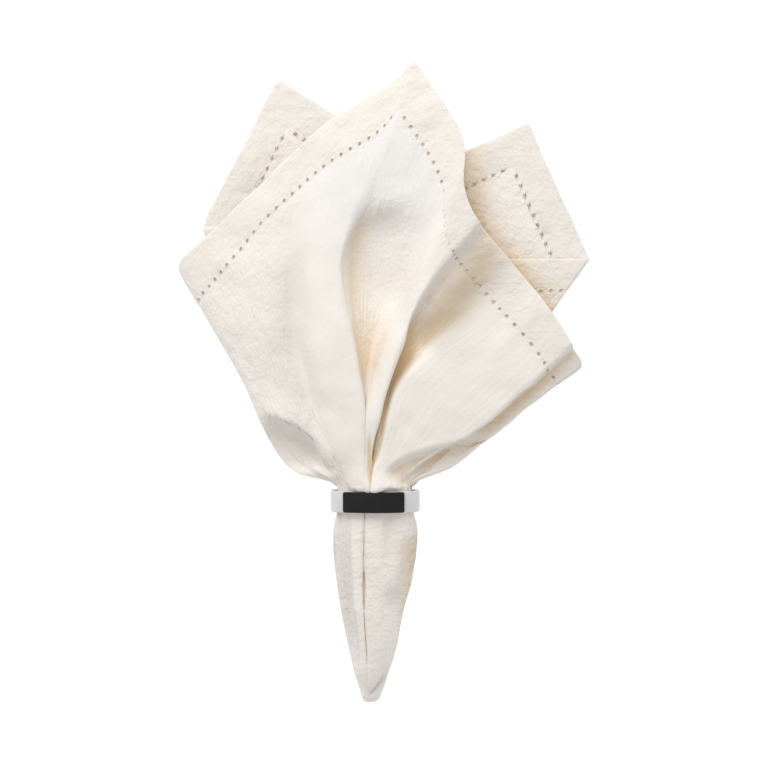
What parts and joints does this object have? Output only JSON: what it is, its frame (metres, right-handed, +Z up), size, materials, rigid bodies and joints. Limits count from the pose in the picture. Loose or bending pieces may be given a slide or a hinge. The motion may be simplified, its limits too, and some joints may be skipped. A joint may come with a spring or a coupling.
{
  "type": "napkin in a ring",
  "caption": "Hemstitched square cloth napkin drawn through an oval ring with a front plate, lying flat with a pointed tail below the ring and fanned corners above it.",
  "frame": {"origin": "on the table, at the middle of the flat underside of the ring", "axes": "+Y along the napkin from the tail's tip to the fanned corners, +X to the right seen from above, +Z up"},
  "size_m": [0.2393, 0.3679, 0.0391],
  "materials": {
    "cloth": "soft washed plain weave, ivory",
    "ring_white": "smooth white, low gloss",
    "plate_black": "satin black"
  },
  "bodies": {
    "root": {"napkin": "cloth", "ring_band": "ring_white", "ring_plate": "plate_black"}
  },
  "joints": []
}
